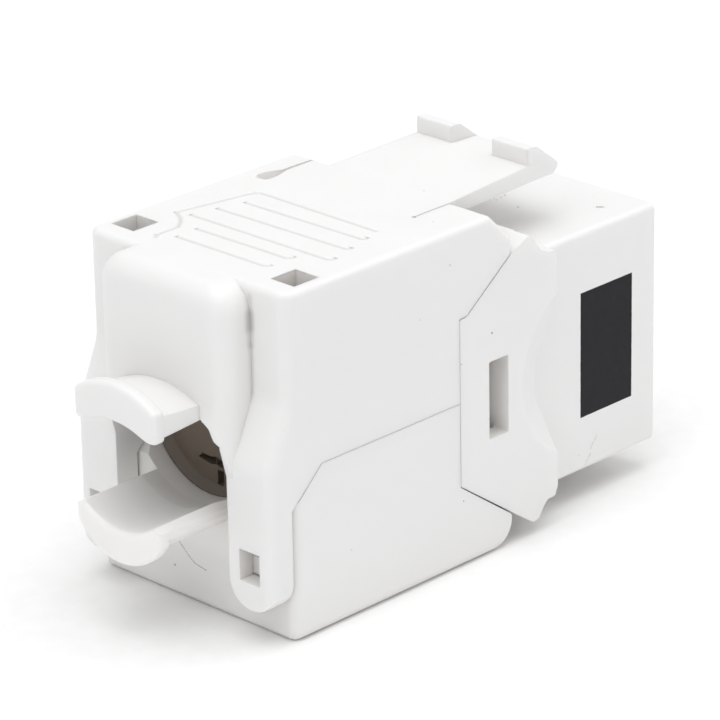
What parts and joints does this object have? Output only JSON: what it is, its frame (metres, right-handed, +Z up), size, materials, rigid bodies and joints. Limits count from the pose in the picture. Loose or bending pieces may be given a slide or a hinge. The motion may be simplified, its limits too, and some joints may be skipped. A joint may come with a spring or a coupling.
{
  "type": "keystone jack",
  "caption": "White tool-less modular keystone jack with press-down termination cap, one-piece latch tongue, rear cable jaws and insulation-displacement contacts",
  "frame": {"origin": "middle of the overall footprint, on the plane of the underside", "axes": "+Z up from the underside to the termination cap, -Y out of the modular port, +Y out of the cable entry, X across the two flanks"},
  "size_m": [0.017, 0.0402, 0.0238],
  "materials": {
    "white_housing": "satin moulded white",
    "carrier_plastic": "natural moulded, fine texture",
    "terminal_plastic": "moulded white",
    "organiser_plastic": "moulded white",
    "board_laminate": "solder-masked glass-epoxy laminate",
    "gold_contact": "gold-plated spring bronze",
    "tin_contact": "tin-plated phosphor bronze"
  },
  "bodies": {
    "jack": {"base_shell": "white_housing", "port_housing": "white_housing", "contact_carrier": "carrier_plastic", "circuit_board": "board_laminate", "idc_block": "terminal_plastic", "port_contact_1": "gold_contact", "port_contact_2": "gold_contact", "port_contact_3": "gold_contact", "port_contact_4": "gold_contact", "port_contact_5": "gold_contact", "port_contact_6": "gold_contact", "port_contact_7": "gold_contact", "port_contact_8": "gold_contact", "idc_contact_1": "tin_contact", "idc_contact_2": "tin_contact", "idc_contact_3": "tin_contact", "idc_contact_4": "tin_contact", "idc_contact_5": "tin_contact", "idc_contact_6": "tin_contact", "idc_contact_7": "tin_contact", "idc_contact_8": "tin_contact"},
    "cap": {"termination_cap": "white_housing", "wire_organiser": "organiser_plastic"}
  },
  "joints": [
    {"name": "cap_lift", "type": "slide", "parent": "jack", "child": "cap", "axis": [0, 0, 1], "range_m": [0, 0.012]}
  ]
}
